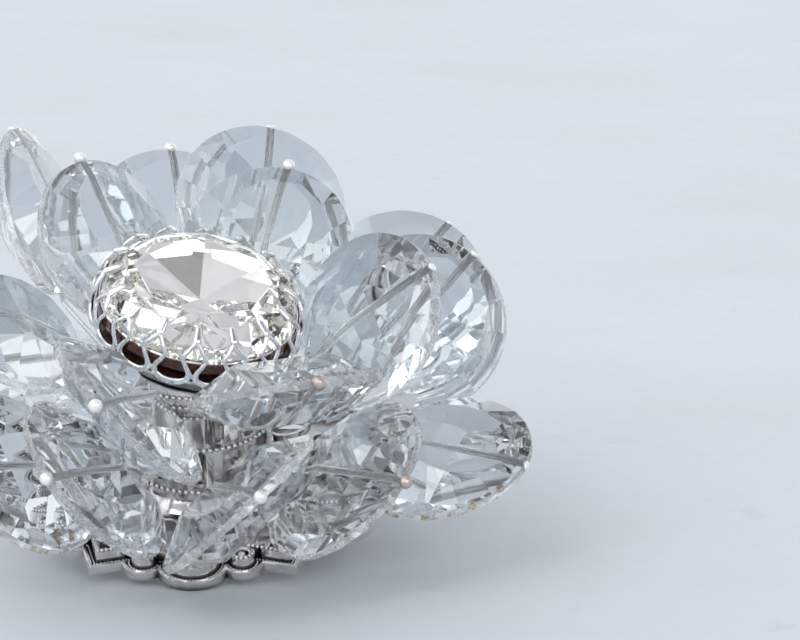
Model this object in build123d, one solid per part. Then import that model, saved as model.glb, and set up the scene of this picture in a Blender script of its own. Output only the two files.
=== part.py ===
"""Crystal flower brooch with a bar pin and a turning safety catch (millimetres).

The brooch lies on a table, with +Z straight up: it rests on its hinge, its catch and the
lower edge of its plate, so the flower leans forward. +X runs along the pin stem to its
point, and the origin is the middle of the pin stem, on its axis. The shapes are drawn with
the plate level, and each is turned to its lying pose as it is saved.
"""
import math
import os
from collections import namedtuple

from build123d import *

os.makedirs("parts", exist_ok=True)

# --- driving dimensions -----------------------------------------------------
FLOWER_Y = -7.0          # the pin sits above the middle, so the brooch hangs upright
PLATE_BACK = 5.6         # height of the plate's back above the stem's axis
FORWARD_LEAN = 17.5      # degrees, about the stem's axis

BEAD_LENGTH = 17.5       # along the hole
BEAD_WIDTH = 18.5
BEAD_THICK = 6.2
BEAD_SIDES = 16
BEAD_RIM = 1.5           # ground rim
BEVEL_WIDTH = 1.5
BEVEL_RISE = 0.55
BEAD_HOLE_R = 0.42

WIRE_R = 0.28
BALL_R = 0.65
BEND_R = 1.0             # bend of the wire behind the bead
CRIMP_R = 0.5

PLATE_R = 16.8
FLANGE_H = 0.5
OUTER_RIM_H = 0.9
INNER_RIM_H = 1.8
SCALLOP_R = 3.5          # six large scallops
SCALLOP_AT = 16.2
LOBE_R = 2.1             # twelve small lobes, one each side of a large scallop
LOBE_AT = 16.6
EAR_HALF = 2.3           # six square ears
EAR_AT = 16.5
SECTORS = 6

HUB_R = 7.2              # waist of the riser cup
HUB_WALL = 0.8
HUB_FLOOR = FLANGE_H

SETTING_Z = 18.6         # middle of the setting's gallery above the plate's back
SETTING_LEAN = 10.0      # the setting leans to the +X side
SETTING_TILT = 6.5       # and towards the lower edge
PRONGS = 16
CROWN_R = 10.5           # outside of the gallery
SHEET = 0.45             # thickness of the setting's metal
GALLERY_LOW = -0.5       # foot of the gallery
CUP_R = 8.6              # the deeper cup inside the gallery
CUP_FLOOR = -2.6

STONE_R = 9.6
SIDE_LOW = 0.5           # the painted side of the stone, below its girdle
GIRDLE_LOW = 1.8
GIRDLE_HIGH = 2.1
DOME_R = 8.9
DOME_H = 3.9
TABLE_R = 6.2
TABLE_H = 5.3
CULET_H = -1.8

POST_R = 1.5

STEM_R = 0.45
STEM_ROOT_R = 0.9         # the stem thickens towards its eye
STEM_WALL = 9.0          # the even part of the stem runs this far each way from its middle
STEM_START = -12.5       # hinge axis
STEM_TIP = 15.2
STEM_TIP_R = 0.06
CATCH_START = 10.6
CATCH_END = 13.4
ROLLER_R = 1.95
TAB_REACH = 3.5          # finger tab of the roller
BAR_LENGTH = 29.0
BAR_WIDTH = 5.0
BAR_THICK = 0.8
BAR_LOW = PLATE_BACK - BAR_THICK
RUNNING = 0.06           # radial clearance of what turns

# A petal's azimuth, the radius and height of its inner end, its incline, its roll about
# its own wire and its swing about the vertical: each one was bent by hand.
Petal = namedtuple("Petal", "azimuth reach height incline roll swing")
INNER_PETALS = [
    Petal(11, 10.5, 11.0, 44, 30, -12),
    Petal(67, 11.0, 11.0, 47, 0, 3),
    Petal(125, 12.0, 12.0, 52, 25, -4),
    Petal(199, 12.0, 17.5, 29, -11, 10),
    Petal(256, 12.5, 15.0, 33, -37, -3),
    Petal(300, 12.0, 15.5, 34, -6, -4),
]
OUTER_PETALS = [
    Petal(351, 16.2, 5.0, 8, 8, -14),
    Petal(24, 18.0, 6.0, 48, 35, -1),
    Petal(42, 20.0, 6.0, 36, 18, 3),
    Petal(78, 21.0, 10.5, 43, 24, 4),
    Petal(97, 21.5, 8.5, 35, 16, 1),
    Petal(131, 23.0, 11.5, 63, 46, -5),
    Petal(153, 11.0, 4.0, 12, -6, 0),
    Petal(169, 13.0, 8.0, 30, -18, 0),
    Petal(216, 12.5, 5.0, 24, -29, 3),
    Petal(241, 11.0, 6.0, 30, -37, 1),
    Petal(280, 14.5, 5.5, 36, 32, 9),
    Petal(316, 12.5, 5.5, 24, 30, -2),
]

FLOWER = Pos(0, FLOWER_Y, PLATE_BACK)
SETTING = Pos(0, 0, SETTING_Z) * Rot(SETTING_TILT, 0, 0) * Rot(0, SETTING_LEAN, 0)
LYING = Rot(FORWARD_LEAN, 0, 0)


def save(shape, node):
    export_step(LYING * shape, f"parts/{node}.step")


def ring_point(radius, degrees):
    turn = math.radians(degrees)
    return radius * math.cos(turn), radius * math.sin(turn)


def cut_by(solid, point, normal):
    """Keep what lies behind the plane through point that faces along normal."""
    return split(solid, bisect_by=Plane(origin=point, z_dir=normal), keep=Keep.BOTTOM)


def facet_ring(solid, count, start, low, high):
    """Grind flat facets, each through a low (radius, height) and a high one."""
    (r1, z1), (r2, z2) = low, high
    for k in range(count):
        x, y = ring_point(1.0, start + 360 * k / count)
        outward = z2 - z1
        upward = r1 - r2
        solid = cut_by(solid, (r1 * x, r1 * y, z1), (outward * x, outward * y, upward))
    return solid


def rod(start, end, radius):
    """A round bar between two points."""
    direction = Vector(*end) - Vector(*start)
    plane = Plane(origin=start, z_dir=direction)
    return plane * Cylinder(radius, direction.length, align=(Align.CENTER, Align.CENTER, Align.MIN))


# --- petals and their head pins ----------------------------------------------
def glass_bead():
    """One petal, its hole along X: a double wedge with a bevelled edge and a ground rim."""
    half_l = BEAD_LENGTH / 2
    half_w = BEAD_WIDTH / 2
    corners = []
    for k in range(BEAD_SIDES):
        x, y = ring_point(1.0, 360 * (k + 0.5) / BEAD_SIDES)
        corners.append((half_l * x, half_w * y))
    bead = extrude(make_face(Polyline(*corners, close=True)), BEAD_THICK / 2, both=True)
    shoulder = BEAD_RIM / 2 + BEVEL_RISE
    for face in (1, -1):
        for k in range(BEAD_SIDES):
            a = Vector(*corners[k])
            b = Vector(*corners[(k + 1) % BEAD_SIDES])
            out = Vector((b - a).Y, -(b - a).X).normalized()
            point = (a.X, a.Y, face * BEAD_RIM / 2)
            bead = cut_by(bead, point, (out.X * BEVEL_RISE, out.Y * BEVEL_RISE, face * BEVEL_WIDTH))
        for end in (1, -1):
            run = half_l - BEVEL_WIDTH
            rise = BEAD_THICK / 2 - shoulder
            bead = cut_by(bead, (0, 0, face * BEAD_THICK / 2), (end * rise, 0, face * run))
    return bead - Rot(0, 90, 0) * Cylinder(BEAD_HOLE_R, 2 * BEAD_LENGTH)


def petal_axes(petal):
    """The inner end of a petal's wire and its directions: along, across and out of the face."""
    x, y = ring_point(petal.reach, petal.azimuth)
    along_x, along_y = ring_point(math.cos(math.radians(petal.incline)), petal.azimuth + petal.swing)
    along = Vector(along_x, along_y, math.sin(math.radians(petal.incline)))
    level = Vector(*ring_point(1.0, petal.azimuth + petal.swing + 90))
    upright = along.cross(level)
    roll = math.radians(petal.roll)
    across = level * math.cos(roll) + upright * math.sin(roll)
    return Vector(x, y, petal.height), along, across


def petal_place(petal):
    """Where the middle of the bead goes."""
    foot, along, across = petal_axes(petal)
    return Plane(origin=foot + along * (BEAD_LENGTH / 2), x_dir=along, z_dir=along.cross(across))


def pin_points(petal, anchor_height):
    """Ball head, elbow behind the bead, and the anchor just inside the riser cup."""
    foot, along, _ = petal_axes(petal)
    end_face = BEAD_LENGTH / 2 * (1 + math.cos(math.pi / BEAD_SIDES))
    head = foot + along * (end_face + math.sqrt(BALL_R ** 2 - BEAD_HOLE_R ** 2) + 0.02)
    elbow = foot - along * BEND_R
    anchor = Vector(*ring_point(HUB_R - HUB_WALL - 1.4, petal.azimuth), anchor_height)
    return head, elbow, anchor


def head_pin(petal, anchor_height):
    """One wire with a ball head, bent behind the bead and crimped inside the cup."""
    head, elbow, anchor = pin_points(petal, anchor_height)
    route = FilletPolyline(head, elbow, anchor, radius=BEND_R)
    start = Plane(origin=head, z_dir=elbow - head)
    wire = sweep(start * Circle(WIRE_R), path=route)
    ball = start * Sphere(BALL_R)
    crimp = Plane(origin=anchor, z_dir=anchor - elbow) * Sphere(CRIMP_R)
    return wire + ball + crimp


def anchor_heights():
    """Outer pins pass the cup low, at two levels by turns; inner ones pass it high."""
    outer = [2.6 + 1.7 * (k % 2) for k in range(len(OUTER_PETALS))]
    inner = [9.5] * len(INNER_PETALS)
    return outer, inner


# --- back plate ---------------------------------------------------------------
def outline(inset):
    """The plate's outline, drawn in by inset: scallops, lobes and square ears."""
    shape = Circle(PLATE_R - inset)
    for k in range(SECTORS):
        ear = 60 * k
        shape += Pos(*ring_point(EAR_AT, ear)) * Rot(0, 0, ear + 45) * Rectangle(
            2 * (EAR_HALF - inset), 2 * (EAR_HALF - inset))
        shape += Pos(*ring_point(SCALLOP_AT, ear + 30)) * Circle(SCALLOP_R - inset)
        for side in (13.5, 46.5):
            shape += Pos(*ring_point(LOBE_AT, ear + side)) * Circle(LOBE_R - inset)
    return shape


def pierced_work():
    """Leaf-shaped openings in a ring, with round ones between and in the scallops."""
    holes = Sketch()
    for k in range(2 * SECTORS):
        turn = 30 * k + 15
        holes += Pos(*ring_point(11.9, turn)) * Rot(0, 0, turn) * Ellipse(2.1, 1.5)
        holes += Pos(*ring_point(13.6, turn + 15)) * Circle(0.8)
    for k in range(SECTORS):
        holes += Pos(*ring_point(SCALLOP_AT + 0.4, 60 * k + 30)) * Circle(1.5)
    return holes


def leaf_rims():
    """Raised wires round the leaf-shaped openings."""
    rims = Sketch()
    for k in range(2 * SECTORS):
        turn = 30 * k + 15
        place = Pos(*ring_point(11.9, turn)) * Rot(0, 0, turn)
        rims += place * (Ellipse(2.5, 1.9) - Ellipse(2.1, 1.5))
    return rims


def back_plate():
    plate = extrude(outline(0) - pierced_work() - Circle(POST_R + 0.02), FLANGE_H)
    plate += extrude(outline(0) - outline(0.4), OUTER_RIM_H)
    plate += extrude(outline(0.9) - outline(1.45), INNER_RIM_H)
    plate += extrude(leaf_rims(), 1.2)
    for k in range(SECTORS):
        for side in (13.5, 46.5):
            x, y = ring_point(LOBE_AT - 0.3, 60 * k + side)
            plate += Pos(x, y, FLANGE_H + 0.35) * Sphere(0.55)
    return plate


# --- riser cup, post, setting and stone ---------------------------------------
def below_setting(solid, height):
    """Cut a solid flush with the leaning setting at a height of the setting's own frame."""
    level = Plane(SETTING * Pos(0, 0, height))
    return cut_by(solid, level.origin, level.z_dir)


def riser_cup(pin_rods):
    """A pierced bell between the plate and the setting."""
    profile = [(8.6, HUB_FLOOR), (8.6, HUB_FLOOR + 0.7), (HUB_R, HUB_FLOOR + 1.4), (HUB_R, 11.5), (CUP_R, 13.4),
               (CUP_R, 20.0), (CUP_R - HUB_WALL, 20.0), (CUP_R - HUB_WALL, 13.6),
               (HUB_R - HUB_WALL, 11.7), (HUB_R - HUB_WALL, HUB_FLOOR)]
    wall = make_face(Plane.XZ * Polyline(*profile, close=True))
    cup = revolve(wall, Axis.Z)
    for k in range(12):
        window = SlotOverall(4.4, 1.9, rotation=90) if k % 2 else SlotOverall(3.4, 1.9, rotation=90)
        for turn, level in ((30 * k, 5.6), (30 * k + 15, 10.0)):
            x, y = ring_point(1.0, turn)
            radial = Plane(origin=(0, 0, level), x_dir=(-y, x, 0), z_dir=(x, y, 0))
            cup -= extrude(radial * window, 12)
    for wire in pin_rods:
        cup -= wire
    return below_setting(cup, CUP_FLOOR)


def centre_post():
    """Headed rivet that holds plate, cup and setting together."""
    shank = Cylinder(POST_R, 24, align=(Align.CENTER, Align.CENTER, Align.MIN))
    head = Pos(0, 0, -0.8) * Cylinder(2.6, 0.8, align=(Align.CENTER, Align.CENTER, Align.MIN))
    return below_setting(shank, CUP_FLOOR) + head


def prong_windows():
    """What is cut away round one prong: the gap beside it, its eye and the notch under it."""
    half = math.pi * CROWN_R / PRONGS
    gap = make_face(Polyline((half - 1.35, 1.3), (half - 0.95, 0.5), (half, 0.2), (half + 0.95, 0.5),
                             (half + 1.35, 1.3), (half + 0.55, 2.9), (half + 1.45, 4.2), (half + 1.5, 7),
                             (half - 1.5, 7), (half - 1.45, 4.2), (half - 0.55, 2.9), close=True))
    eye = make_face(Polyline((0, 1.6), (0.95, 2.9), (0, 4.0), (-0.95, 2.9), close=True))
    notch = Pos(0, -0.55) * Circle(0.6)
    return gap + eye + notch


def crown_setting():
    """Stamped cup: a scalloped gallery, sixteen split prongs and a deeper cup inside."""
    inner_r = CROWN_R - SHEET
    profile = [(CROWN_R, GALLERY_LOW), (CROWN_R + 0.05, 1.8), (10.25, 3.1), (9.55, 4.3), (8.0, 5.2), (7.9, 4.85),
               (9.2, 4.0), (9.75, 3.0), (inner_r + 0.05, 1.8), (inner_r, GALLERY_LOW)]
    shell = revolve(make_face(Plane.XZ * Polyline(*profile, close=True)), Axis.Z)
    for k in range(PRONGS):
        x, y = ring_point(1.0, 360 * k / PRONGS)
        front = Plane(origin=(7 * x, 7 * y, 0), x_dir=(-y, x, 0), z_dir=(x, y, 0))
        shell -= extrude(front * prong_windows(), 5)
    brim = [(CROWN_R - 0.2, GALLERY_LOW), (CROWN_R - 0.2, GALLERY_LOW + 0.4), (CUP_R - 0.4, GALLERY_LOW + 0.4),
            (CUP_R - 0.4, CUP_FLOOR + 0.4), (0, CUP_FLOOR + 0.4), (0, CUP_FLOOR), (CUP_R, CUP_FLOOR),
            (CUP_R, GALLERY_LOW)]
    return shell + revolve(make_face(Plane.XZ * Polyline(*brim, close=True)), Axis.Z)


def stone_back(offset):
    """The side and faceted underside of the stone, grown outward by offset."""
    depth = GIRDLE_LOW - CULET_H + 2
    back = Pos(0, 0, CULET_H - 2) * Cylinder(STONE_R + offset, depth, align=(
        Align.CENTER, Align.CENTER, Align.MIN))
    back = facet_ring(back, 8, 22.5, (0.01, CULET_H - offset), (STONE_R, SIDE_LOW - offset))
    return facet_ring(back, 16, 11.25, (7.2, -0.2 - offset), (STONE_R, SIDE_LOW + 0.45 - offset))


def centre_stone():
    top = Pos(0, 0, GIRDLE_LOW) * Cylinder(STONE_R, TABLE_H - GIRDLE_LOW, align=(
        Align.CENTER, Align.CENTER, Align.MIN))
    top = facet_ring(top, 16, 0, (STONE_R, GIRDLE_HIGH), (DOME_R, DOME_H))
    top = facet_ring(top, 16, 11.25, (DOME_R + 0.15, DOME_H - 0.5), (TABLE_R + 1.2, TABLE_H - 0.5))
    top = facet_ring(top, 8, 22.5, (DOME_R, DOME_H), (TABLE_R, TABLE_H))
    return top + stone_back(0)


# --- bar pin with its hinge and safety catch -----------------------------------
def block_between(low, high):
    size = [h - l for l, h in zip(low, high)]
    middle = [(h + l) / 2 for l, h in zip(low, high)]
    return Pos(*middle) * Box(*size)


def base_bar():
    return Pos(0, 0, BAR_LOW) * extrude(SlotOverall(BAR_LENGTH, BAR_WIDTH), BAR_THICK)


def across(radius, width):
    """A cylinder along Y on the hinge axis."""
    return Pos(STEM_START, 0, 0) * Rot(90, 0, 0) * Cylinder(radius, width)


def lengthwise(radius, start, end):
    """A cylinder on the stem's axis."""
    return rod((start, 0, 0), (end, 0, 0), radius)


def taper(start_r, end_r, start, end):
    """A cone on the stem's axis."""
    cone = Cone(start_r, end_r, end - start, align=(Align.CENTER, Align.CENTER, Align.MIN))
    return Pos(start, 0, 0) * Rot(0, 90, 0) * cone


def hinge_block():
    """Two cheeks folded down from a foot on the bar."""
    foot = block_between((STEM_START - 1.6, -1.7, BAR_LOW - 0.5), (STEM_START + 1.6, 1.7, BAR_LOW))
    block = foot
    for side in (1, -1):
        low_y = 0.85 if side > 0 else -1.7
        cheek = block_between((STEM_START - 1.4, low_y, 0), (STEM_START + 1.4, low_y + 0.85, BAR_LOW - 0.5))
        knuckle = Pos(STEM_START, low_y + 0.425, 0) * Rot(90, 0, 0) * Cylinder(1.4, 0.85)
        block += cheek + knuckle
    return block - across(0.52, 6)


def hinge_rivet():
    rivet = across(0.5, 3.7)
    for side in (1, -1):
        rivet += Pos(0, side * 1.9, 0) * across(0.85, 0.3)
    return rivet


def pin_stem():
    """Pointed stem with its eye on the hinge rivet."""
    stem = across(1.2, 1.5) + lengthwise(STEM_R, -STEM_WALL, STEM_WALL)
    stem += taper(STEM_ROOT_R, STEM_R, STEM_START, -STEM_WALL)
    stem += taper(STEM_R, STEM_TIP_R, STEM_WALL, STEM_TIP)
    return stem - across(0.5 + RUNNING, 4)


def catch_body():
    """A ring with an open underside, on a web and a foot."""
    ring = lengthwise(ROLLER_R + 0.75, CATCH_START, CATCH_END)
    web = block_between((CATCH_START, -1.1, 2.2), (CATCH_END, 1.1, BAR_LOW - 0.5))
    foot = block_between((CATCH_START - 0.4, -1.8, BAR_LOW - 0.5), (CATCH_END + 0.4, 1.8, BAR_LOW))
    body = ring + web + foot - lengthwise(ROLLER_R + RUNNING, CATCH_START - 1, CATCH_END + 1)
    return body - block_between((CATCH_START - 1, -0.8, -4), (CATCH_END + 1, 0.8, 0))


def catch_roller():
    """Slotted roller between two flanges, with a finger tab on the outer one."""
    flange = ROLLER_R + 0.45
    roller = lengthwise(ROLLER_R, CATCH_START - 0.6, CATCH_END + 0.7)
    roller += lengthwise(flange, CATCH_START - 0.6, CATCH_START - 0.1)
    roller += lengthwise(flange, CATCH_END + 0.1, CATCH_END + 0.7)
    tab = block_between((CATCH_END + 0.1, -TAB_REACH, -0.7), (CATCH_END + 0.7, -1.6, 0.7))
    roller += tab + Pos(CATCH_END + 0.4, -TAB_REACH, 0) * Cylinder(0.3, 1.4)
    roller -= lengthwise(STEM_R + 0.15, CATCH_START - 2, CATCH_END + 2)
    return roller - block_between((CATCH_START - 2, -STEM_R - 0.15, -4), (CATCH_END + 2, STEM_R + 0.15, 0))


# --- build ----------------------------------------------------------------------
def build_petals():
    bead = glass_bead()
    rods = []
    outer_heights, inner_heights = anchor_heights()
    for row, petals, heights in (("outer", OUTER_PETALS, outer_heights), ("inner", INNER_PETALS, inner_heights)):
        for number, (petal, height) in enumerate(zip(petals, heights), 1):
            save(FLOWER * petal_place(petal).location * bead, f"{row}_petal_{number}")
            save(FLOWER * head_pin(petal, height), f"{row}_head_pin_{number}")
            _, elbow, anchor = pin_points(petal, height)
            rods.append(rod(elbow, anchor, WIRE_R + 0.08))
    return rods


def main():
    rods = build_petals()
    save(FLOWER * back_plate(), "back_plate")
    save(FLOWER * riser_cup(rods), "riser_cup")
    save(FLOWER * centre_post(), "centre_post")
    save(FLOWER * SETTING * crown_setting(), "crown_setting")
    save(FLOWER * SETTING * centre_stone(), "centre_stone")
    save(FLOWER * SETTING * (stone_back(0.12) - stone_back(0.02)), "stone_foil")
    save(FLOWER * SETTING * (stone_back(0.28) - stone_back(0.12)), "foil_lacquer")
    save(base_bar(), "base_bar")
    save(hinge_block(), "hinge_block")
    save(hinge_rivet(), "hinge_rivet")
    save(pin_stem(), "pin_stem")
    save(catch_body(), "catch_body")
    save(catch_roller(), "catch_roller")


main()
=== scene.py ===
import math

import bmesh
import bpy
from mathutils import Matrix, Vector


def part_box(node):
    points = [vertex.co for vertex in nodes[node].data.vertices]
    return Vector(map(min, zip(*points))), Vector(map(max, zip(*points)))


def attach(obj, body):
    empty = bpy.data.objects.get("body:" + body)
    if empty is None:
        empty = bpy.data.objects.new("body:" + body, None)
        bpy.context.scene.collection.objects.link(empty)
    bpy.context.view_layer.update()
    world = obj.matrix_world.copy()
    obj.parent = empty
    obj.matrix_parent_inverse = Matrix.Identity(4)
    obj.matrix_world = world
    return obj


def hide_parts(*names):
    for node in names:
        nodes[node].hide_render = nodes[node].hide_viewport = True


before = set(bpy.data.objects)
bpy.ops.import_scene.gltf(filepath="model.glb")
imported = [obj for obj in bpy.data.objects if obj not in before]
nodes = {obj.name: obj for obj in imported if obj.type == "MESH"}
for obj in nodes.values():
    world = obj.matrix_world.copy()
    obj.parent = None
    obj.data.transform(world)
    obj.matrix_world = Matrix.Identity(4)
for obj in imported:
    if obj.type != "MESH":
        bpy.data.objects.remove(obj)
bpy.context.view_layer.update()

MM = 0.001
WHOLE_TURN = 2 * math.pi

# --- places and sizes, in millimetres ------------------------------------------
# The brooch lies on its hinge, its catch and its plate's edge, so it leans about the pin stem.
FORWARD_LEAN = math.radians(17.5)
LYING = Matrix.Rotation(FORWARD_LEAN, 4, "X")
PLATE = LYING @ Matrix.Translation((0, -7.0, 5.6))
SETTING_Z = 18.6             # middle of the setting's gallery above the plate's back
SETTING_TILT, SETTING_LEAN = math.radians(6.5), math.radians(10)
SETTING = (PLATE @ Matrix.Translation((0, 0, SETTING_Z))
           @ Matrix.Rotation(SETTING_TILT, 4, "X") @ Matrix.Rotation(SETTING_LEAN, 4, "Y"))

BEAD_LENGTH, BEAD_WIDTH, BEAD_THICK = 17.5, 18.5, 6.2
BEAD_SIDES = 16
BEAD_RIM = 0.85              # the ground rim between the two rings of bevels
BEVEL_WIDTH, BEVEL_RISE = 1.5, 0.87
BEAD_HOLE_R = 0.42
BEAD_EDGE = 0.00006          # a hairline: the cut facets meet almost sharp
HEAD_REACH = 1.0             # a pin's head lies this near to its bead's axis
PRESSED_DEPTH, PRESSED_WIDTH = 0.4, 0.75     # a worn head against the round ball

PRONGS = 16
GALLERY_R = 10.3             # middle of the gallery's metal
PRONG_PITCH = WHOLE_TURN * GALLERY_R / PRONGS
# The setting's metal from its foot to the prong tips: radius and height.
SHELL = [(10.25, -0.5), (10.3, 0.6), (10.3, 1.8), (10.0, 3.05), (9.3, 4.1), (7.8, 4.95)]
CUP_R, CUP_FLOOR = 8.6, -2.6                 # the deeper cup inside the gallery
GIRDLE = 1.8                 # the stone's widest edge; it is foiled below
# Bars on the setting's metal: side, reach up the metal, width and depth.
PRONG_LEG = [(0.36, 0.85, 0.74, 0.45), (0.42, 1.60, 0.60, 0.44), (1.06, 2.75, 0.46, 0.42),
             (1.12, 3.10, 0.46, 0.42), (0.54, 4.05, 0.46, 0.44), (0.12, 4.60, 0.50, 0.44)]
PRONG_FINGER = [(0, 4.35, 0.70, 0.44), (0, 4.80, 0.86, 0.48), (0, 5.40, 0.76, 0.48),
                (0, 6.00, 0.66, 0.46), (0, 6.30, 0.50, 0.38), (0, 6.45, 0.22, 0.20)]
SCALLOP_WIDTH, SCALLOP_DEPTH = 0.56, 0.48
SCALLOP_TOP, SCALLOP_DIP, SCALLOP_BULGE = 1.10, 0.80, 2.4
SCALLOP_ENDS = 0.25          # how far a scallop starts from its prong's middle
MILLED_R = 0.17
MILLED_LOW, MILLED_OUT = 0.26, 0.14          # milled grains below and proud of the scallop
CAST_GRAIN = 0.085           # how fine the cast metal's skin is

# Petals with old gilding on the rim, pins whose round heads stand out, and ball heads whose
# pinkish-brown colour is a painted reflection.
GILT_PETALS = ["outer_petal_1", "outer_petal_9"]
BALL_PINS = ["inner_head_pin_5", "inner_head_pin_6", "outer_head_pin_9", "outer_head_pin_10",
             "outer_head_pin_11", "outer_head_pin_12"]
PINK_REFLECTION_PINS = ["inner_head_pin_6", "outer_head_pin_12"]

SECTORS = 6
PLATE_R = 16.8
SCALLOP_R, SCALLOP_AT = 3.5, 16.2
LOBE_R, LOBE_AT = 2.1, 16.6
EAR_HALF, EAR_AT = 2.3, 16.5
SCALLOP_TURN = math.radians(30)              # from the sector's ear
LOBE_TURNS = [math.radians(13.5), math.radians(46.5)]
EAR_SPREAD = 0.3             # radians each side of an ear that its square can reach
TRACE_STEPS = 7200           # how finely the outline is walked round
HUB_R, BELL_R = 7.2, 8.6     # waist and bell of the riser cup

# Beaded wires on the plate: inset from its outline, height, grain spacing and grain radius.
BEADED_WIRES = [(1.17, 1.83, 0.46, 0.25), (0.66, 0.68, 0.36, 0.20)]
LOBE_BALL_R, LOBE_BALL_RISE = 0.62, 0.3
LOBE_INSET, LOBE_HEIGHT = 0.3, 0.8
LOBE_RING_R, LOBE_GRAIN_SPACING, LOBE_GRAIN_R = 0.92, 0.36, 0.17
# Beaded rings on the riser cup: radius and height.
CUP_RINGS = [(HUB_R, 3.0), (HUB_R, 7.8), (HUB_R + 0.1, 11.6), (BELL_R, 13.5), (BELL_R, 14.6)]
CUP_RING_OUT, CUP_GRAIN_SPACING, CUP_GRAIN_R = 0.05, 0.62, 0.3

FLOOR_HALF = 1.5             # metres

CAMERA_ELEVATION = math.radians(30) - FORWARD_LEAN      # 30 degrees above the leaning plate
CAMERA_DISTANCE = 330.0
CAMERA_LENS = 148.5
CAMERA_SENSOR = 36.0
AIM_RIGHT, AIM_UP = 19.8, 15.86

ROOM_LIGHT = 0.92
ROOM_NEAR, ROOM_FAR = (0.64, 0.665, 0.70, 1), (0.60, 0.63, 0.67, 1)
ROOM_HIGH = (0.80, 0.83, 0.87, 1)
# Windows, in degrees: azimuth from the far side, height, half width and half height; then brightness.
WINDOWS = [(0, 10, 75, 12, 1.3), (-62, 40, 24, 17, 1.9), (35, 40, 14, 12, 1.3),
           (150, 28, 28, 15, 2.3), (-135, 28, 32, 15, 2.3)]
# Round softboxes: direction, half angle in degrees, brightness.
SOFTBOXES = [((-0.42, -0.40, 0.82), 17, 2.6), ((0.45, -0.35, 0.82), 20, 0.32)]
WINDOW_BLUR = math.radians(2)
SOFTBOX_BLUR = 0.01          # as a cosine
# Light passes through many beads in turn before it reaches the floor.
LIGHT_BOUNCES, MIRROR_BOUNCES = 24, 14


# --- shader helpers --------------------------------------------------------------
COLOUR_A, COLOUR_B, COLOUR_OUT = 6, 7, 2     # the Mix node's sockets for colours


def new_material(name):
    """A material, its node tree and its surface node."""
    material = bpy.data.materials.new(name)
    material.use_nodes = True
    return material, material.node_tree, material.node_tree.nodes["Principled BSDF"]


def put(tree, socket, value):
    """Link a socket, or set its value."""
    if isinstance(value, bpy.types.NodeSocket):
        tree.links.new(value, socket)
    else:
        socket.default_value = value


def add(tree, kind, inputs=(), **settings):
    """A new shader node with its settings and inputs."""
    node = tree.nodes.new("ShaderNode" + kind)
    for setting, value in settings.items():
        setattr(node, setting, value)
    for socket, value in dict(inputs).items():
        put(tree, node.inputs[socket], value)
    return node


def finish_shader(tree, principled, values):
    """Set or link the surface's sockets by name."""
    for socket, value in values.items():
        put(tree, principled.inputs[socket], value)


def place_mm(tree, stretch=(1, 1, 1)):
    """Place on the piece in millimetres, stretched for brushed or scratched grain."""
    where = add(tree, "TexCoord").outputs["Object"]
    scale = [s / MM for s in stretch]
    return add(tree, "Mapping", {"Vector": where, "Scale": scale}).outputs["Vector"]


def noise(tree, scale, detail=3.0, stretch=(1, 1, 1), rough=0.5):
    node = add(tree, "TexNoise", {"Vector": place_mm(tree, stretch), "Scale": scale,
                                  "Detail": detail, "Roughness": rough})
    return node.outputs["Fac"]


def ranged(tree, value, low, high, start=0.3, end=0.7):
    """The value from start to end, turned into low to high."""
    node = add(tree, "MapRange", {"Value": value, "From Min": start, "From Max": end,
                                  "To Min": low, "To Max": high})
    return node.outputs["Result"]


def mixed(tree, factor, first, second):
    """A colour between the first and the second."""
    node = add(tree, "Mix", data_type="RGBA")
    put(tree, node.inputs["Factor"], factor)
    put(tree, node.inputs[COLOUR_A], first)
    put(tree, node.inputs[COLOUR_B], second)
    return node.outputs[COLOUR_OUT]


def multiplied(tree, first, second):
    node = add(tree, "Math", operation="MULTIPLY")
    put(tree, node.inputs[0], first)
    put(tree, node.inputs[1], second)
    return node.outputs[0]


def bumped(tree, height, depth_mm, strength=1.0):
    node = add(tree, "Bump", {"Height": height, "Distance": depth_mm * MM, "Strength": strength})
    return node.outputs["Normal"]


# --- materials -------------------------------------------------------------------
def clear_glass(name, tint, ior):
    """Pressed and polished crystal: faint waves and hairline scratches."""
    material, tree, principled = new_material(name)
    scratches = noise(tree, 0.9, 6.0, (0.35, 3.0, 0.6), 0.75)
    finish_shader(tree, principled, {
        "Base Color": tint,
        "Transmission Weight": 1.0,
        "IOR": ior,
        "Roughness": ranged(tree, scratches, 0.0, 0.03, 0.5, 0.8),
        "Normal": bumped(tree, noise(tree, 0.35, 2.0), 0.02, 0.35),
    })
    return material


def ground_glass(name, tint, low, high, residue=0.0):
    """The milky ground edge of a petal, with old gilding left on some."""
    material, tree, principled = new_material(name)
    patches = ranged(tree, noise(tree, 0.7, 6.0, rough=0.75), 0.0, 1.0, 0.5, 0.58)
    gilt = multiplied(tree, patches, residue)
    finish_shader(tree, principled, {
        "Base Color": mixed(tree, gilt, tint, (0.42, 0.27, 0.14, 1)),
        "Transmission Weight": ranged(tree, gilt, 0.9, 0.15, 0.0, 1.0),
        "IOR": 1.5,
        "Roughness": ranged(tree, noise(tree, 1.6, 3.0), low, high),
        "Normal": bumped(tree, noise(tree, 5.0, 3.0), 0.01, 0.25),
    })
    return material


def mirror(name):
    """The stone's silver foil, a little yellowed in clouds."""
    material, tree, principled = new_material(name)
    clouds = ranged(tree, noise(tree, 0.4), 0, 1)
    finish_shader(tree, principled, {
        "Base Color": mixed(tree, clouds, (0.95, 0.95, 0.95, 1), (0.9, 0.88, 0.84, 1)),
        "Metallic": 1.0,
        "Roughness": ranged(tree, noise(tree, 2.5, 4.0), 0.0, 0.05),
    })
    return material


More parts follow.
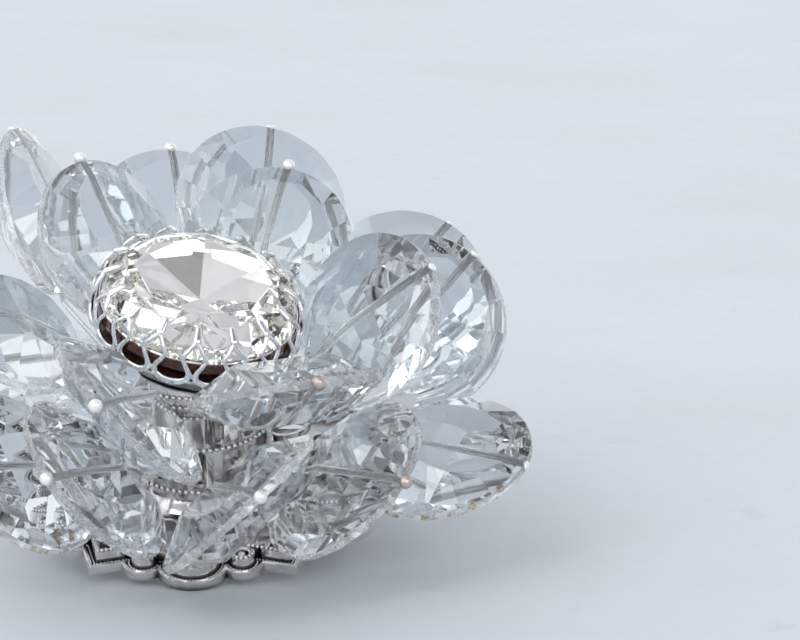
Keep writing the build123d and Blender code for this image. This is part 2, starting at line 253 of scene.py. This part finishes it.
def lacquer(name):
    """Reddish-brown lacquer brushed on the back of the foil."""
    material, tree, principled = new_material(name)
    strokes = ranged(tree, noise(tree, 0.9, 4.0), 0, 1)
    finish_shader(tree, principled, {
        "Base Color": mixed(tree, strokes, (0.035, 0.006, 0.004, 1), (0.11, 0.022, 0.012, 1)),
        "Roughness": ranged(tree, noise(tree, 2.0), 0.22, 0.4),
        "Coat Weight": 0.5,
        "Normal": bumped(tree, noise(tree, 1.2, 3.0), 0.05, 0.5),
    })
    return material


def silver(name, tone, dark, low, high, grime, stretch=(1, 1, 1), metallic=1.0):
    """Plated metal, a little dulled in places, with fine wear from handling."""
    material, tree, principled = new_material(name)
    spots = ranged(tree, noise(tree, 1.1, 5.0, rough=0.65), grime, 0.0, 0.36, 0.52)
    finish_shader(tree, principled, {
        "Base Color": mixed(tree, spots, tone, dark),
        "Metallic": metallic,
        "Roughness": ranged(tree, noise(tree, 3.0, 5.0, stretch), low, high),
        "Normal": bumped(tree, noise(tree, 4.0, 4.0, stretch), 0.02, 0.5),
    })
    return material


def oxidised(name, tone, dark, reach_mm):
    """Silver rubbed bright on its edges, with dark oxide left where cloths don't reach."""
    material, tree, principled = new_material(name)
    open_metal = add(tree, "AmbientOcclusion", {"Distance": reach_mm * MM}, samples=6).outputs["AO"]
    rubbed = ranged(tree, open_metal, 0.0, 1.0, 0.35, 0.7)
    blotch = ranged(tree, noise(tree, 0.8, 4.0), 0.75, 1.0, 0.35, 0.5)
    finish_shader(tree, principled, {
        "Base Color": mixed(tree, multiplied(tree, rubbed, blotch), dark, tone),
        "Metallic": 1.0,
        "Roughness": ranged(tree, rubbed, 0.42, 0.16, 0.0, 1.0),
        "Normal": bumped(tree, noise(tree, 2.2, 3.0), 0.02, 0.4),
    })
    return material


def marble(name):
    """Pale, honed marble with soft grey clouds and a few specks."""
    material, tree, principled = new_material(name)
    clouds = ranged(tree, noise(tree, 0.018, 5.0, rough=0.6), 0.0, 1.0, 0.35, 0.7)
    specks = ranged(tree, noise(tree, 0.10, 8.0, rough=0.72), 0.0, 1.0, 0.62, 0.74)
    tone = mixed(tree, clouds, (0.66, 0.69, 0.74, 1), (0.62, 0.65, 0.69, 1))
    finish_shader(tree, principled, {
        "Base Color": mixed(tree, multiplied(tree, specks, 0.5), tone, (0.50, 0.51, 0.54, 1)),
        "Roughness": ranged(tree, noise(tree, 0.5, 3.0), 0.45, 0.6),
        "Normal": bumped(tree, noise(tree, 0.8, 5.0), 0.02, 0.2),
    })
    return material


CRYSTAL = clear_glass("crystal_facets", (0.78, 0.805, 0.825, 1), 1.54)
RIM = ground_glass("crystal_ground_rim", (0.95, 0.955, 0.965, 1), 0.20, 0.32)
GILT_RIM = ground_glass("crystal_gilt_rim", (0.84, 0.86, 0.88, 1), 0.25, 0.45, 0.9)
BORE = ground_glass("crystal_bore", (0.98, 0.985, 0.99, 1), 0.25, 0.4)
STONE_GLASS = clear_glass("stone_glass", (0.985, 0.98, 0.965, 1), 1.60)
FOIL = mirror("stone_mirror_foil")
LACQUER = lacquer("foil_lacquer_brown")
BRIGHT = silver("bright_silver", (0.87, 0.88, 0.90, 1), (0.50, 0.47, 0.45, 1), 0.10, 0.22, 0.5)
OXIDISED = oxidised("oxidised_silver", (0.80, 0.79, 0.79, 1), (0.09, 0.075, 0.068, 1), 1.3)
WIRE = silver("wire_silver", (0.96, 0.965, 0.975, 1), (0.74, 0.70, 0.66, 1), 0.22, 0.38, 0.3,
              metallic=0.55)
# Painted reflection: a pinkish-brown tone on two ball heads stands in for a reflection; its dark
# spots are random dulling.
PINK_REFLECTION_WIRE = silver("painted_pink_reflection_wire", (0.66, 0.55, 0.49, 1), (0.32, 0.22, 0.18, 1), 0.22, 0.4, 0.9)
STEEL = silver("brushed_steel", (0.66, 0.67, 0.69, 1), (0.30, 0.28, 0.27, 1), 0.22, 0.42, 0.6,
               stretch=(0.25, 3, 3))
MARBLE = marble("pale_marble")


# --- mesh helpers ------------------------------------------------------------------
SAME_POINT = 1e-7            # metres
FLAT, VERY_FLAT = 0.008, 0.001               # radians between faces taken as one


def welded(node):
    """A node's mesh as a clean bmesh: no doubled points and no needless edges."""
    source = nodes[node].data
    mesh = bmesh.new()
    points = [mesh.verts.new(v.co) for v in source.vertices]
    for polygon in source.polygons:
        mesh.faces.new([points[i] for i in polygon.vertices])
    bmesh.ops.remove_doubles(mesh, verts=mesh.verts, dist=SAME_POINT)
    bmesh.ops.dissolve_limit(mesh, angle_limit=FLAT, verts=mesh.verts, edges=mesh.edges)
    mesh.normal_update()
    return mesh


def add_object(name, mesh, materials, body="brooch", stands_for=()):
    """Turn a bmesh into a piece that rides on a body."""
    data = bpy.data.meshes.new(name)
    mesh.to_mesh(data)
    mesh.free()
    for material in materials:
        data.materials.append(material)
    piece = bpy.data.objects.new(name, data)
    bpy.context.scene.collection.objects.link(piece)
    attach(piece, body)
    if stands_for:
        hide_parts(*stands_for)
    return piece


def chamfer(mesh, width, degrees, segments=1, plain=()):
    """Break the edges over an angle, but not between two faces of a plain material.

    The width is in the mesh's own unit: metres for a CAD copy, millimetres for a bead.
    """
    sharp = [e for e in mesh.edges
             if len(e.link_faces) == 2 and e.calc_face_angle() > math.radians(degrees)
             and not all(f.material_index in plain for f in e.link_faces)]
    bmesh.ops.bevel(mesh, geom=sharp, offset=width, segments=segments, affect="EDGES",
                    profile=0.6, clamp_overlap=True)


def smooth_by_angle(piece, degrees):
    """Shade smooth, except over edges sharper than the angle."""
    piece.data.shade_smooth()
    piece.data.set_sharp_from_angle(angle=math.radians(degrees))


def rounded_copy(node, material, width_mm, body="brooch"):
    """A CAD metal part with its edges broken, as polished metal has."""
    mesh = welded(node)
    chamfer(mesh, width_mm * MM, 35, 2)
    piece = add_object("finished_" + node, mesh, [material], body, [node])
    smooth_by_angle(piece, 30)
    return piece


def curve_through(points, steps):
    """Catmull-Rom points through a list of tuples of numbers."""
    ends = [points[0]] + list(points) + [points[-1]]
    path = []
    for k in range(1, len(ends) - 2):
        a, b, c, d = ends[k - 1:k + 3]
        for step in range(steps):
            t = step / steps
            path.append(tuple(
                0.5 * (2 * q + (r - p) * t + (2 * p - 5 * q + 4 * r - s) * t * t
                       + (3 * q - p - 3 * r + s) * t ** 3)
                for p, q, r, s in zip(a, b, c, d)))
    path.append(tuple(points[-1]))
    return path


def ribbon(mesh, points, outs, widths, depths, sides=10):
    """A closed bar along points: widths lie across it and depths along the outs."""
    rings = []
    last = len(points) - 1
    for k, (point, out) in enumerate(zip(points, outs)):
        along = (points[min(k + 1, last)] - points[max(k - 1, 0)]).normalized()
        across = along.cross(out).normalized()
        outward = across.cross(along)
        ring = []
        for s in range(sides):
            turn = WHOLE_TURN * s / sides
            aside = across * math.cos(turn) * widths[k] / 2
            raised = outward * math.sin(turn) * depths[k] / 2
            ring.append(mesh.verts.new(point + (aside + raised)))
        rings.append(ring)
    for first, second in zip(rings, rings[1:]):
        for s in range(sides):
            mesh.faces.new((first[s], first[(s + 1) % sides], second[(s + 1) % sides], second[s]))
    mesh.faces.new(rings[0][::-1])
    mesh.faces.new(rings[-1])


def ball(mesh, centre, radius, detail):
    """A ball of flat triangles, finer with more detail."""
    place = Matrix.Translation(centre)
    bmesh.ops.create_icosphere(mesh, subdivisions=detail, radius=radius, matrix=place)


def on_circle(radius, turn, height=0):
    """The point at a turn round the local Z axis."""
    return Vector((radius * math.cos(turn), radius * math.sin(turn), height))


def lathe(mesh, profile, segments=96):
    """Turn a closed profile of (radius, height) about the local Z axis."""
    rings = []
    for k in range(segments):
        turn = WHOLE_TURN * k / segments
        rings.append([mesh.verts.new(on_circle(r, turn, z)) for r, z in profile])
    for first, second in zip(rings, rings[1:] + rings[:1]):
        for k in range(len(profile)):
            after = (k + 1) % len(profile)
            mesh.faces.new((first[k], second[k], second[after], first[after]))


def to_place(mesh, matrix):
    """From the place's own millimetres to the shared frame in metres."""
    bmesh.ops.transform(mesh, matrix=Matrix.Scale(MM, 4) @ matrix, verts=mesh.verts)
    bmesh.ops.recalc_face_normals(mesh, faces=mesh.faces)


def evaluated_mesh(piece):
    """A new mesh of the object with its modifiers applied."""
    depsgraph = bpy.context.evaluated_depsgraph_get()
    return bpy.data.meshes.new_from_object(piece.evaluated_get(depsgraph))


def cast(mesh, voxel_mm, smoothing):
    """Fuse overlapping bars into one cast skin and return it as a bmesh."""
    data = bpy.data.meshes.new("casting")
    mesh.to_mesh(data)
    mesh.free()
    rough = bpy.data.objects.new("casting", data)
    bpy.context.scene.collection.objects.link(rough)
    remesh = rough.modifiers.new("fuse", "REMESH")
    remesh.mode = "VOXEL"
    remesh.voxel_size = voxel_mm * MM
    relax = rough.modifiers.new("relax", "SMOOTH")
    relax.factor = 0.5
    relax.iterations = smoothing
    result = evaluated_mesh(rough)
    fused = bmesh.new()
    fused.from_mesh(result)
    bpy.data.objects.remove(rough)
    bpy.data.meshes.remove(data)
    bpy.data.meshes.remove(result)
    return fused


# --- petals ------------------------------------------------------------------------
RIM_SLOT, BORE_SLOT = 1, 2   # the ground faces; the polished facets have slot 0
SIDEWAYS = 0.3               # a face with less of its normal on an axis lies along that axis
INSIDE = 0.995               # the uncut disc stays a little inside the bead's own width


def cut_off(mesh, point, normal):
    """Grind a convex solid flat beyond a plane."""
    everything = mesh.verts[:] + mesh.edges[:] + mesh.faces[:]
    cut = bmesh.ops.bisect_plane(mesh, geom=everything, plane_co=point, plane_no=normal,
                                 clear_outer=True)
    edges = [e for e in cut["geom_cut"] if isinstance(e, bmesh.types.BMEdge) and e.is_boundary]
    bmesh.ops.edgeloop_fill(mesh, edges=edges)


def drilled(mesh, radius, length):
    """The mesh with a round bore along X."""
    solid = bpy.data.meshes.new("bead")
    mesh.to_mesh(solid)
    mesh.free()
    drill = bmesh.new()
    bmesh.ops.create_cone(drill, cap_ends=True, segments=28, radius1=radius, radius2=radius,
                          depth=length, matrix=Matrix.Rotation(math.pi / 2, 4, "Y"))
    tool = bpy.data.meshes.new("drill")
    drill.to_mesh(tool)
    drill.free()
    bead, bit = [bpy.data.objects.new(data.name, data) for data in (solid, tool)]
    for piece in (bead, bit):
        bpy.context.scene.collection.objects.link(piece)
    boolean = bead.modifiers.new("bore", "BOOLEAN")
    boolean.operation = "DIFFERENCE"
    boolean.solver = "EXACT"
    boolean.object = bit
    result = evaluated_mesh(bead)
    bored = bmesh.new()
    bored.from_mesh(result)
    for piece in (bead, bit):
        bpy.data.objects.remove(piece)
    for data in (solid, tool, result):
        bpy.data.meshes.remove(data)
    return bored


def ground_disc():
    """A round disc ground to two slopes on each face and a ring of bevels round each rim."""
    half_l, half_w = BEAD_LENGTH / 2, BEAD_WIDTH / 2
    mesh = bmesh.new()
    bmesh.ops.create_cone(mesh, cap_ends=True, segments=6 * BEAD_SIDES, radius1=1, radius2=1,
                          depth=BEAD_THICK)
    bmesh.ops.scale(mesh, vec=(half_l * INSIDE, half_w * INSIDE, 1), verts=mesh.verts)
    shoulder = BEAD_RIM / 2 + BEVEL_RISE
    for face in (1, -1):
        for end in (1, -1):
            slope = Vector((end * (BEAD_THICK / 2 - shoulder), 0, face * (half_l - BEVEL_WIDTH)))
            cut_off(mesh, (0, 0, face * BEAD_THICK / 2), slope)
        for k in range(BEAD_SIDES):
            turns = [WHOLE_TURN * (k + side) / BEAD_SIDES for side in (-0.5, 0.5)]
            a, b = [Vector((half_l * math.cos(turn), half_w * math.sin(turn), 0)) for turn in turns]
            out = Vector(((b - a).y, -(b - a).x, 0)).normalized()
            slope = out * BEVEL_RISE + Vector((0, 0, face * BEVEL_WIDTH))
            cut_off(mesh, a + Vector((0, 0, face * BEAD_RIM / 2)), slope)
    return mesh


def glass_bead():
    """One finished bead, its bore along X, with its ground rim and bore told apart."""
    mesh = drilled(ground_disc(), BEAD_HOLE_R, 2 * BEAD_LENGTH)
    mesh.normal_update()
    for face in mesh.faces:
        middle = face.calc_center_median()
        if math.hypot(middle.y, middle.z) < BEAD_HOLE_R * 1.05 and abs(face.normal.x) < SIDEWAYS:
            face.material_index = BORE_SLOT
            face.smooth = True
        elif abs(face.normal.z) < SIDEWAYS:
            face.material_index = RIM_SLOT
            face.smooth = True
    bmesh.ops.dissolve_limit(mesh, angle_limit=VERY_FLAT, verts=mesh.verts, edges=mesh.edges,
                             delimit={"MATERIAL"})
    chamfer(mesh, BEAD_EDGE, 7, plain=(RIM_SLOT, BORE_SLOT))
    return mesh


def bead_place(node):
    """Where a petal lies: from a bead's own millimetres to the shared frame in metres.

    The two large slopes of one face lean towards the two ends of the bore, so between
    them they give the bore's direction and the face's outward direction.
    """
    mesh = welded(node)
    big = sorted(mesh.faces, key=lambda f: -f.calc_area())[:4]
    one = big[0].normal
    other = next(f.normal for f in big[1:] if f.normal.dot(one) > 0)
    out = (one + other).normalized()
    along = one.cross(other).normalized().cross(out)
    across = out.cross(along)
    axes = Matrix((along, across, out))
    places = [axes @ v.co for v in mesh.verts]
    mesh.free()
    middle = (Vector(map(min, *places)) + Vector(map(max, *places))) / 2
    place = axes.transposed().to_4x4()
    place.translation = axes.transposed() @ middle
    return place @ Matrix.Scale(MM, 4)


def petals():
    bead = glass_bead()
    for node in sorted(nodes):
        if "_petal_" in node:
            mesh = bead.copy()
            bmesh.ops.transform(mesh, matrix=bead_place(node), verts=mesh.verts)
            edge = GILT_RIM if node in GILT_PETALS else RIM
            add_object("glass_" + node, mesh, [CRYSTAL, edge, BORE], "brooch", [node])
    bead.free()


# --- stone and setting ----------------------------------------------------------------
FOIL_SLOT = 1                # the foiled facets; the polished glass has slot 0
STONE_EDGE = 0.04


def centre_stone():
    """A foiled stone: polished glass above, mirrored facets behind."""
    mesh = welded("centre_stone")
    inward = SETTING.inverted()
    for face in mesh.faces:
        if (inward @ (face.calc_center_median() / MM)).z < GIRDLE:
            face.material_index = FOIL_SLOT
    chamfer(mesh, STONE_EDGE * MM, 8, plain=(FOIL_SLOT,))
    add_object("cut_centre_stone", mesh, [STONE_GLASS, FOIL], "brooch", ["centre_stone"])


def on_shell(turn, side, reach):
    """A point of the setting and its outward direction: side runs round, reach runs up."""
    angle = turn + side / GALLERY_R
    for (r1, z1), (r2, z2) in zip(SHELL, SHELL[1:]):
        span = math.hypot(r2 - r1, z2 - z1)
        if reach <= span or (r2, z2) == SHELL[-1]:
            break
        reach -= span
    t = reach / span
    radius = r1 + (r2 - r1) * t
    rise, run = (z2 - z1) / span, (r2 - r1) / span
    return on_circle(radius, angle, z1 + (z2 - z1) * t), on_circle(rise, angle, -run)


def shell_ribbon(mesh, turn, route, steps=5):
    """A bar on the setting's metal; route lists (side, reach, width, depth)."""
    path = curve_through(route, steps)
    sides, reaches, widths, depths = zip(*path)
    points, outs = zip(*(on_shell(turn, side, reach) for side, reach in zip(sides, reaches)))
    ribbon(mesh, points, outs, widths, depths)


def prong(mesh, turn):
    """Two legs that part round an eye, then one finger pressed over the stone."""
    for hand in (1, -1):
        leg = [(hand * side, reach, width, depth) for side, reach, width, depth in PRONG_LEG]
        shell_ribbon(mesh, turn, leg)
    shell_ribbon(mesh, turn, PRONG_FINGER)


def gallery(mesh, turn):
    """A scallop hung between two prongs, its lower edge milled."""
    middle = PRONG_PITCH / 2
    between = [middle * part for part in (0.5, 0.75, 1, 1.25, 1.5)]
    scallop = []
    for side in [SCALLOP_ENDS] + between + [PRONG_PITCH - SCALLOP_ENDS]:
        reach = SCALLOP_TOP - SCALLOP_DIP * (1 - abs(side / middle - 1) ** SCALLOP_BULGE)
        scallop.append((side, reach, SCALLOP_WIDTH, SCALLOP_DEPTH))
    shell_ribbon(mesh, turn, scallop)
    for side, reach, _, _ in curve_through(scallop, 3):
        place, outward = on_shell(turn, side, max(reach - MILLED_LOW, 0.02))
        ball(mesh, place + outward * MILLED_OUT, MILLED_R, 1)


def setting_cup():
    """The cup inside the gallery, which holds the foiled back of the stone."""
    cup = bmesh.new()
    brim, foot = -0.25, CUP_FLOOR + 0.1
    # Out along the foot, up the outside, over the brim and back down the inside.
    lathe(cup, [(0.01, foot), (CUP_R - 0.35, foot), (CUP_R - 0.1, foot + 0.25),
                (CUP_R, brim - 0.3), (CUP_R + 0.25, brim), (GALLERY_R, brim),
                (GALLERY_R, brim + 0.3), (CUP_R - 0.3, brim + 0.3), (CUP_R - 0.45, foot + 0.4),
                (0.01, foot + 0.4)])
    to_place(cup, SETTING)
    data = bpy.data.meshes.new("setting_cup")
    cup.to_mesh(data)
    cup.free()
    return data


def crown_setting():
    """Prongs and scallops cast as one, on their cup."""
    mesh = bmesh.new()
    for k in range(PRONGS):
        turn = WHOLE_TURN * k / PRONGS
        prong(mesh, turn)
        gallery(mesh, turn)
    to_place(mesh, SETTING)
    mesh = cast(mesh, CAST_GRAIN, 2)
    cup = setting_cup()
    mesh.from_mesh(cup)
    bpy.data.meshes.remove(cup)
    piece = add_object("crown_of_prongs", mesh, [BRIGHT], "brooch",
                       ["crown_setting"])
    smooth_by_angle(piece, 50)


# --- plate ------------------------------------------------------------------------------
def outline_radius(turn, inset):
    """How far the plate's outline, drawn in by inset, lies from its middle."""
    ray = Vector((math.cos(turn), math.sin(turn)))
    far = PLATE_R - inset
    for k in range(SECTORS):
        ear = WHOLE_TURN * k / SECTORS
        discs = [(SCALLOP_AT, ear + SCALLOP_TURN, SCALLOP_R - inset)]
        discs += [(LOBE_AT, ear + side, LOBE_R - inset) for side in LOBE_TURNS]
        for reach, angle, radius in discs:
            centre = Vector((reach * math.cos(angle), reach * math.sin(angle)))
            along = centre.dot(ray)
            gap = centre.length_squared - along * along
            if along > 0 and gap < radius * radius:
                far = max(far, along + math.sqrt(radius * radius - gap))
        lean = abs((turn - ear + math.pi) % WHOLE_TURN - math.pi)
        corner = EAR_AT + (EAR_HALF - inset) * math.sqrt(2)
        if lean < EAR_SPREAD:
            far = max(far, corner / (math.cos(lean) + math.sin(lean)))
    return far


def evenly_spaced(inset, spacing):
    """Points spaced evenly round the plate's outline."""
    turns = [WHOLE_TURN * k / TRACE_STEPS for k in range(TRACE_STEPS + 1)]
    trace = [on_circle(outline_radius(turn, inset), turn) for turn in turns]
    walked = 0.0
    spots = []
    for first, second in zip(trace, trace[1:]):
        walked += (second - first).length
        if walked >= spacing:
            walked -= spacing
            spots.append(second)
    return spots


def ring_of(radius, height, spacing):
    """Points spaced evenly round a ring."""
    count = round(WHOLE_TURN * radius / spacing)
    for k in range(count):
        yield on_circle(radius, WHOLE_TURN * k / count, height)


def granulation():
    """Beaded wires on the plate's rims, grains round each lobe's ball, and rings on the riser."""
    mesh = bmesh.new()
    for inset, height, spacing, grain in BEADED_WIRES:
        for spot in evenly_spaced(inset, spacing):
            ball(mesh, spot + Vector((0, 0, height)), grain, 1)
    for k in range(SECTORS):
        for side in LOBE_TURNS:
            turn = WHOLE_TURN * k / SECTORS + side
            centre = on_circle(LOBE_AT - LOBE_INSET, turn, LOBE_HEIGHT)
            ball(mesh, centre + Vector((0, 0, LOBE_BALL_RISE)), LOBE_BALL_R, 3)
            for spot in ring_of(LOBE_RING_R, 0, LOBE_GRAIN_SPACING):
                ball(mesh, centre + spot, LOBE_GRAIN_R, 1)
    for radius, height in CUP_RINGS:
        for spot in ring_of(radius + CUP_RING_OUT, height, CUP_GRAIN_SPACING):
            ball(mesh, spot, CUP_GRAIN_R, 1)
    to_place(mesh, PLATE)
    piece = add_object("plate_granulation", mesh, [OXIDISED])
    piece.data.shade_smooth()


# --- the rest ------------------------------------------------------------------------------
def paint(node, material):
    """A CAD piece as it is, with its material."""
    nodes[node].material_slots[0].material = material


def head_pin(node):
    """A wire with its head: a round ball on some, worn and pressed flat on the others."""
    # These heads carry a painted pinkish reflection in their colour.
    metal = PINK_REFLECTION_WIRE if node in PINK_REFLECTION_PINS else WIRE
    if node in BALL_PINS:
        paint(node, metal)
        return
    place = bead_place(node.replace("head_pin", "petal"))
    inward = place.inverted()
    end_face = BEAD_LENGTH / 2 * math.cos(math.pi / BEAD_SIDES)
    mesh = welded(node)
    for point in mesh.verts:
        local = inward @ point.co
        if local.x > end_face and math.hypot(local.y, local.z) < HEAD_REACH:
            out = end_face + (local.x - end_face) * PRESSED_DEPTH
            point.co = place @ Vector((out, local.y * PRESSED_WIDTH, local.z * PRESSED_WIDTH))
    piece = add_object("finished_" + node, mesh, [metal], "brooch", [node])
    smooth_by_angle(piece, 40)


def metalwork():
    for node in sorted(nodes):
        if "_head_pin_" in node:
            head_pin(node)
    paint("stone_foil", FOIL)
    paint("foil_lacquer", LACQUER)
    paint("centre_post", OXIDISED)
    rounded_copy("back_plate", OXIDISED, 0.06)
    rounded_copy("riser_cup", OXIDISED, 0.06)
    rounded_copy("base_bar", STEEL, 0.12)
    rounded_copy("hinge_block", STEEL, 0.1)
    rounded_copy("hinge_rivet", STEEL, 0.06)
    rounded_copy("catch_body", STEEL, 0.08)
    rounded_copy("catch_roller", STEEL, 0.06, "roller")
    paint("pin_stem", STEEL)


# --- stage -----------------------------------------------------------------------------------
def floor():
    """The marble top that the brooch lies on."""
    low = min(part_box(node)[0].z for node in nodes)
    data = bpy.data.meshes.new("floor")
    signs = [(-1, -1), (1, -1), (1, 1), (-1, 1)]
    corners = [(x * FLOOR_HALF, y * FLOOR_HALF, low) for x, y in signs]
    data.from_pydata(corners, [], [(0, 1, 2, 3)])
    data.materials.append(MARBLE)
    sheet = bpy.data.objects.new("floor", data)
    bpy.context.scene.collection.objects.link(sheet)


def soft_edge(tree, value, centre, half, soft):
    """1 within half of the centre, falling to 0 over soft."""
    shifted = add(tree, "Math", {0: value, 1: centre}, operation="SUBTRACT").outputs[0]
    away = add(tree, "Math", {0: shifted}, operation="ABSOLUTE").outputs[0]
    return ranged(tree, away, 1.0, 0.0, half - soft, half + soft)


def studio():
    """A pale room with windows on the far and the near side and two softboxes overhead."""
    world = bpy.data.worlds.new("studio")
    bpy.context.scene.world = world
    world.use_nodes = True
    tree = world.node_tree
    towards = add(tree, "TexCoord").outputs["Generated"]
    split = add(tree, "SeparateXYZ", {"Vector": towards}).outputs
    turn = add(tree, "Math", {0: split["X"], 1: split["Y"]}, operation="ARCTAN2").outputs[0]
    rise = add(tree, "Math", {0: split["Z"]}, operation="ARCSINE").outputs[0]
    far = ranged(tree, split["Y"], 0.0, 1.0, -0.7, 0.5)
    room = mixed(tree, far, ROOM_NEAR, ROOM_FAR)
    high = ranged(tree, split["Z"], 0.0, 1.0, 0.45, 0.95)
    room = mixed(tree, high, room, ROOM_HIGH)
    for place, degrees, bright in SOFTBOXES:
        facing = add(tree, "VectorMath", {0: towards, 1: Vector(place).normalized()},
                     operation="DOT_PRODUCT").outputs["Value"]
        edge = math.cos(math.radians(degrees))
        disc = ranged(tree, facing, 0.0, 1.0, edge - SOFTBOX_BLUR, edge + SOFTBOX_BLUR)
        room = mixed(tree, disc, room, (bright * 0.95, bright * 0.98, bright, 1))
    for azimuth, height, half_wide, half_high, bright in WINDOWS:
        across = soft_edge(tree, turn, math.radians(azimuth), math.radians(half_wide), WINDOW_BLUR)
        up = soft_edge(tree, rise, math.radians(height), math.radians(half_high), WINDOW_BLUR)
        pane = (bright * 0.94, bright * 0.98, bright, 1)
        room = mixed(tree, multiplied(tree, across, up), room, pane)
    background = tree.nodes["Background"]
    put(tree, background.inputs["Color"], room)
    background.inputs["Strength"].default_value = ROOM_LIGHT


def camera():
    """The photograph's view, level across and looking down on the lying brooch."""
    data = bpy.data.cameras.new("camera")
    data.lens = CAMERA_LENS
    data.sensor_width = CAMERA_SENSOR
    data.clip_start, data.clip_end = 0.01, 10.0
    up = Vector((0, math.sin(CAMERA_ELEVATION), math.cos(CAMERA_ELEVATION)))
    back = Vector((0, -math.cos(CAMERA_ELEVATION), math.sin(CAMERA_ELEVATION)))
    aim = PLATE.translation + Vector((AIM_RIGHT, 0, 0)) + up * AIM_UP
    view = bpy.data.objects.new("camera", data)
    view.location = (aim + back * CAMERA_DISTANCE) * MM
    view.rotation_euler = (math.pi / 2 - CAMERA_ELEVATION, 0, 0)
    bpy.context.scene.collection.objects.link(view)
    bpy.context.scene.camera = view


petals()
centre_stone()
crown_setting()
granulation()
metalwork()
floor()
studio()
camera()
bpy.context.scene.view_settings.view_transform = "Standard"
bpy.context.scene.cycles.max_bounces = LIGHT_BOUNCES
bpy.context.scene.cycles.glossy_bounces = MIRROR_BOUNCES
bpy.context.scene.cycles.transmission_bounces = LIGHT_BOUNCES
